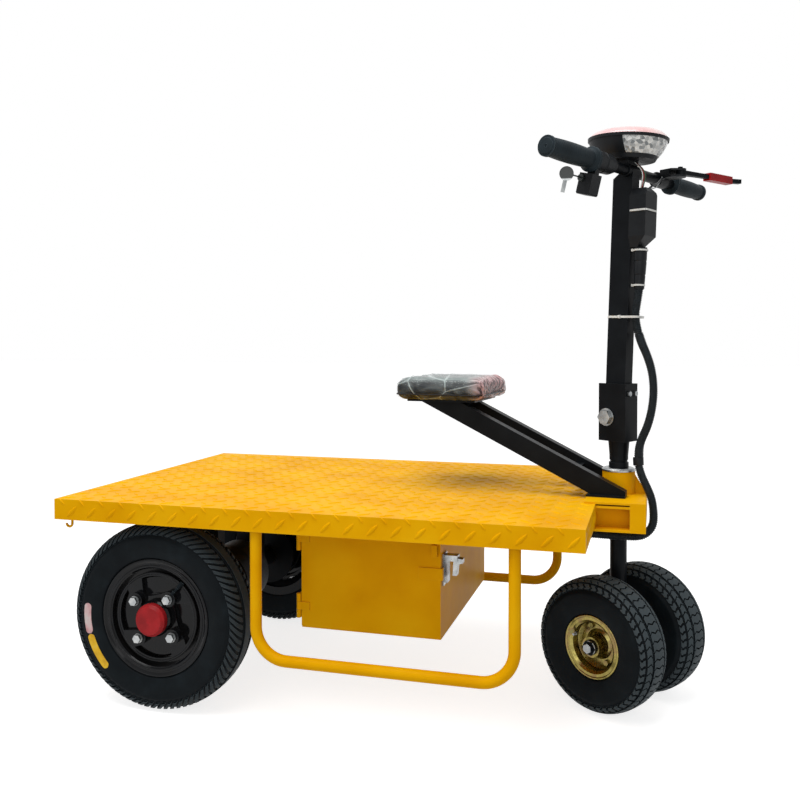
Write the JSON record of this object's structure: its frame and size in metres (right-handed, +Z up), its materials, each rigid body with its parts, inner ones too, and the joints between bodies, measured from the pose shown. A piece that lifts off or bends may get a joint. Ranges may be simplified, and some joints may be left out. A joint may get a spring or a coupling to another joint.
{
  "type": "folding flatbed cart",
  "caption": "Powered flatbed load cart with a diamond-plate deck, seat on a slanting arm and a folding steering column",
  "frame": {"origin": "on the floor, under the middle of the cart", "axes": "+X towards the steering end, +Y to the cart's left, +Z up"},
  "size_m": [1.339, 0.7, 1.1703],
  "materials": {
    "black_plastic": "satin",
    "yellow_paint": "semi_gloss",
    "zinc_steel": "plated",
    "black_paint": "satin",
    "cast_alloy": "cast",
    "gold_zinc": "passivated",
    "tyre_rubber": "matte",
    "grip_rubber": "matte",
    "bearing_steel": "ground",
    "red_plastic": "gloss",
    "clear_lens": "clear",
    "tinted_film": "glossy film",
    "red_sleeve": "satin",
    "cable_sheath": "satin",
    "black_enamel": "gloss",
    "seat_vinyl": "film_wrapped"
  },
  "bodies": {
    "chassis": {"battery_pack": "black_plastic", "box_hinges": "yellow_paint", "box_latch": "zinc_steel", "box_shell": "yellow_paint", "chassis_rails": "yellow_paint", "cross_beams": "yellow_paint", "deck_plate": "yellow_paint", "drive_motor": "cast_alloy", "guard_left": "yellow_paint", "guard_right": "yellow_paint", "head_bearings": "bearing_steel", "head_bracket": "yellow_paint", "head_cap": "zinc_steel", "loom_lower": "cable_sheath", "rear_axle": "black_paint", "seat_arms": "black_paint", "seat_cushion": "seat_vinyl", "seat_pan": "black_paint"},
    "box_door": {"box_door": "yellow_paint"},
    "rear_wheel_right": {"rear_tyre_right": "tyre_rubber", "rear_rim_right": "black_enamel", "rear_hub_right": "black_enamel", "hub_cap_right": "red_plastic", "wheel_nuts_right": "zinc_steel"},
    "rear_wheel_left": {"rear_tyre_left": "tyre_rubber", "rear_rim_left": "black_enamel", "rear_hub_left": "black_enamel", "hub_cap_left": "red_plastic", "wheel_nuts_left": "zinc_steel"},
    "steering": {"fold_bracket": "black_paint", "loom_bulge": "cable_sheath", "loom_inner": "cable_sheath", "pivot_bolts": "zinc_steel", "steering_stem": "black_paint"},
    "front_wheel_right": {"front_tyre_right": "tyre_rubber", "front_rim_right": "gold_zinc"},
    "front_wheel_left": {"front_tyre_left": "tyre_rubber", "front_rim_left": "gold_zinc"},
    "column": {"brake_lever": "black_paint", "brake_perch": "black_plastic", "column": "black_paint", "connector_cover": "black_plastic", "grip_left": "grip_rubber", "grip_right": "grip_rubber", "handlebar": "black_paint", "ignition_key": "zinc_steel", "lamp_housing": "black_plastic", "lamp_lens": "clear_lens", "lamp_top": "tinted_film", "lever_sleeve": "red_sleeve", "loom_upper": "cable_sheath", "throttle_housing": "black_plastic"}
  },
  "joints": [
    {"name": "rear_right_spin", "type": "hinge", "parent": "chassis", "child": "rear_wheel_right", "pos_m": [-0.461, -0.283, 0.187], "axis": [0, 1, 0], "continuous": true},
    {"name": "rear_left_spin", "type": "hinge", "parent": "chassis", "child": "rear_wheel_left", "pos_m": [-0.461, 0.283, 0.187], "axis": [0, 1, 0], "continuous": true},
    {"name": "steer", "type": "hinge", "parent": "chassis", "child": "steering", "pos_m": [0.422, 0, 0.45], "axis": [0, 0, 1], "range_deg": [-24, 86]},
    {"name": "front_right_spin", "type": "hinge", "parent": "steering", "child": "front_wheel_right", "pos_m": [0.39194, -0.06944, 0.1325], "axis": [0.515, 0.8572, 0], "continuous": true},
    {"name": "front_left_spin", "type": "hinge", "parent": "steering", "child": "front_wheel_left", "pos_m": [0.4692, 0.05914, 0.1325], "axis": [0.515, 0.8572, 0], "continuous": true},
    {"name": "column_fold", "type": "hinge", "parent": "steering", "child": "column", "pos_m": [0.40914, 0.00773, 0.58], "axis": [-0.515, -0.8572, 0], "range_deg": [0, 65]},
    {"name": "door_swing", "type": "hinge", "parent": "chassis", "child": "box_door", "pos_m": [-0.201, -0.2055, 0.2615], "axis": [0, 0, -1], "range_deg": [0, 90]}
  ]
}
